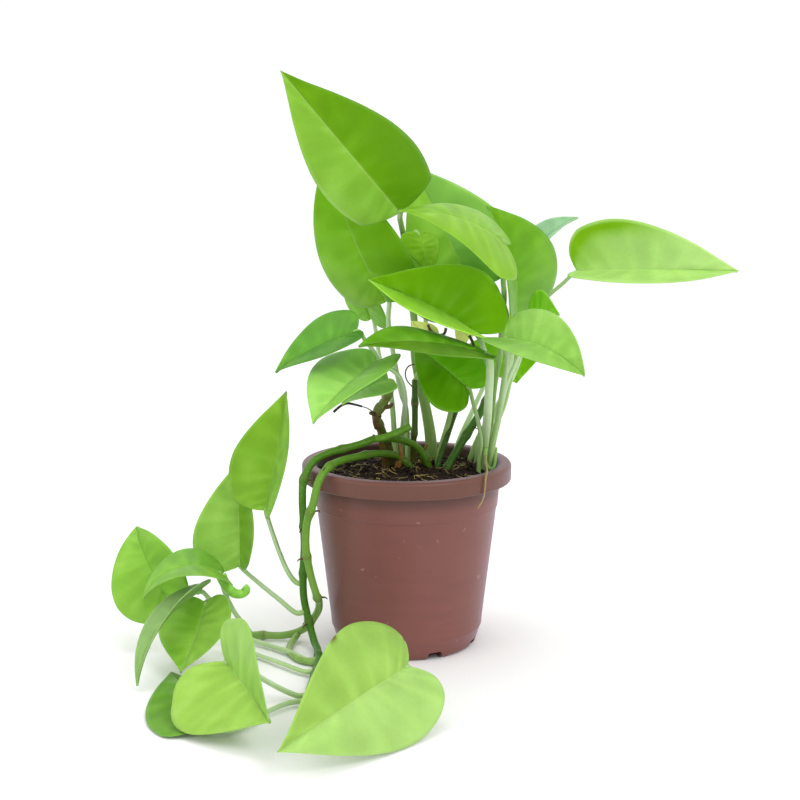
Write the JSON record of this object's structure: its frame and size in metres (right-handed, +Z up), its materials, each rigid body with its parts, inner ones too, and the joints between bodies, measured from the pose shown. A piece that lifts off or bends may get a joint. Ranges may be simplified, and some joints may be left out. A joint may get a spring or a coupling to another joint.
{
  "type": "potted pothos plant",
  "caption": "Young pothos in a round plastic nursery pot: upright heart-shaped leaves on petioles, with vines arching over the rim to trail on the surface.",
  "frame": {"origin": "centre of the pot's flat underside, on the surface that it stands on", "axes": "+Z up; the vines leave over the rim towards -X and end towards -Y; the crown's longest leaf points along +X"},
  "size_m": [0.3688, 0.3007, 0.3312],
  "materials": {
    "leaf_arching": "smooth waxy leaf, soft sheen",
    "leaf_back_centre": "smooth waxy leaf, soft sheen",
    "leaf_back_left": "smooth waxy leaf, soft sheen",
    "leaf_back_right": "smooth waxy leaf, soft sheen",
    "leaf_back_upper": "smooth waxy leaf, soft sheen",
    "leaf_centre": "smooth waxy leaf, soft sheen",
    "leaf_far_back": "smooth waxy leaf, soft sheen",
    "leaf_far_right": "smooth waxy leaf, soft sheen",
    "leaf_front_level": "smooth waxy leaf, soft sheen",
    "leaf_left": "smooth waxy leaf, soft sheen",
    "leaf_left_lower": "smooth waxy leaf, soft sheen",
    "leaf_left_small": "smooth waxy leaf, soft sheen",
    "leaf_lower_centre": "smooth waxy leaf, soft sheen",
    "leaf_lower_right": "smooth waxy leaf, soft sheen",
    "leaf_right": "smooth waxy leaf, soft sheen",
    "leaf_right_inner": "smooth waxy leaf, soft sheen",
    "leaf_top_left": "smooth waxy leaf, soft sheen",
    "leaf_trail_arching": "smooth waxy leaf, soft sheen",
    "leaf_trail_drooping": "smooth waxy leaf, soft sheen",
    "leaf_trail_floor": "smooth waxy leaf, soft sheen",
    "leaf_trail_front": "smooth waxy leaf, soft sheen",
    "leaf_trail_outer": "smooth waxy leaf, soft sheen",
    "leaf_trail_shaded": "smooth waxy leaf, soft sheen",
    "leaf_trail_side": "smooth waxy leaf, soft sheen",
    "leaf_trail_upright": "smooth waxy leaf, soft sheen",
    "leaf_upper_left": "smooth waxy leaf, soft sheen",
    "leaf_vine_end": "smooth waxy leaf, soft sheen",
    "petiole_arching": "smooth pale green stalk",
    "petiole_back_centre": "smooth pale green stalk",
    "petiole_back_left": "smooth pale green stalk",
    "petiole_back_right": "smooth pale green stalk",
    "petiole_back_upper": "smooth pale green stalk",
    "petiole_centre": "smooth pale green stalk",
    "petiole_far_back": "smooth pale green stalk",
    "petiole_far_right": "smooth pale green stalk",
    "petiole_front_level": "smooth pale green stalk",
    "petiole_left": "smooth pale green stalk",
    "petiole_left_lower": "smooth pale green stalk",
    "petiole_lower_centre": "smooth pale green stalk",
    "petiole_lower_right": "smooth pale green stalk",
    "petiole_right": "smooth pale green stalk",
    "petiole_right_inner": "smooth pale green stalk",
    "petiole_top_left": "smooth pale green stalk",
    "petiole_trail_arching": "smooth pale green stalk",
    "petiole_trail_drooping": "smooth pale green stalk",
    "petiole_trail_floor": "smooth pale green stalk",
    "petiole_trail_front": "smooth pale green stalk",
    "petiole_trail_outer": "smooth pale green stalk",
    "petiole_trail_shaded": "smooth pale green stalk",
    "petiole_trail_side": "smooth pale green stalk",
    "petiole_trail_upright": "smooth pale green stalk",
    "petiole_upper_left": "smooth pale green stalk",
    "petiole_vine_end": "smooth pale green stalk",
    "pot": "moulded, semi-matte terracotta brown",
    "soil": "rough crumbly potting mix",
    "stem_left": "brown-green stem, slightly rough",
    "stem_middle": "brown-green stem, slightly rough",
    "stem_right": "brown-green stem, slightly rough",
    "vine_lower": "smooth green vine",
    "vine_upper": "smooth green vine"
  },
  "bodies": {
    "root": {"leaf_arching": "leaf_arching", "leaf_back_centre": "leaf_back_centre", "leaf_back_left": "leaf_back_left", "leaf_back_right": "leaf_back_right", "leaf_back_upper": "leaf_back_upper", "leaf_centre": "leaf_centre", "leaf_far_back": "leaf_far_back", "leaf_far_right": "leaf_far_right", "leaf_front_level": "leaf_front_level", "leaf_left": "leaf_left", "leaf_left_lower": "leaf_left_lower", "leaf_left_small": "leaf_left_small", "leaf_lower_centre": "leaf_lower_centre", "leaf_lower_right": "leaf_lower_right", "leaf_right": "leaf_right", "leaf_right_inner": "leaf_right_inner", "leaf_top_left": "leaf_top_left", "leaf_trail_arching": "leaf_trail_arching", "leaf_trail_drooping": "leaf_trail_drooping", "leaf_trail_floor": "leaf_trail_floor", "leaf_trail_front": "leaf_trail_front", "leaf_trail_outer": "leaf_trail_outer", "leaf_trail_shaded": "leaf_trail_shaded", "leaf_trail_side": "leaf_trail_side", "leaf_trail_upright": "leaf_trail_upright", "leaf_upper_left": "leaf_upper_left", "leaf_vine_end": "leaf_vine_end", "petiole_arching": "petiole_arching", "petiole_back_centre": "petiole_back_centre", "petiole_back_left": "petiole_back_left", "petiole_back_right": "petiole_back_right", "petiole_back_upper": "petiole_back_upper", "petiole_centre": "petiole_centre", "petiole_far_back": "petiole_far_back", "petiole_far_right": "petiole_far_right", "petiole_front_level": "petiole_front_level", "petiole_left": "petiole_left", "petiole_left_lower": "petiole_left_lower", "petiole_lower_centre": "petiole_lower_centre", "petiole_lower_right": "petiole_lower_right", "petiole_right": "petiole_right", "petiole_right_inner": "petiole_right_inner", "petiole_top_left": "petiole_top_left", "petiole_trail_arching": "petiole_trail_arching", "petiole_trail_drooping": "petiole_trail_drooping", "petiole_trail_floor": "petiole_trail_floor", "petiole_trail_front": "petiole_trail_front", "petiole_trail_outer": "petiole_trail_outer", "petiole_trail_shaded": "petiole_trail_shaded", "petiole_trail_side": "petiole_trail_side", "petiole_trail_upright": "petiole_trail_upright", "petiole_upper_left": "petiole_upper_left", "petiole_vine_end": "petiole_vine_end", "pot": "pot", "soil": "soil", "stem_left": "stem_left", "stem_middle": "stem_middle", "stem_right": "stem_right", "vine_lower": "vine_lower", "vine_upper": "vine_upper"}
  },
  "joints": []
}
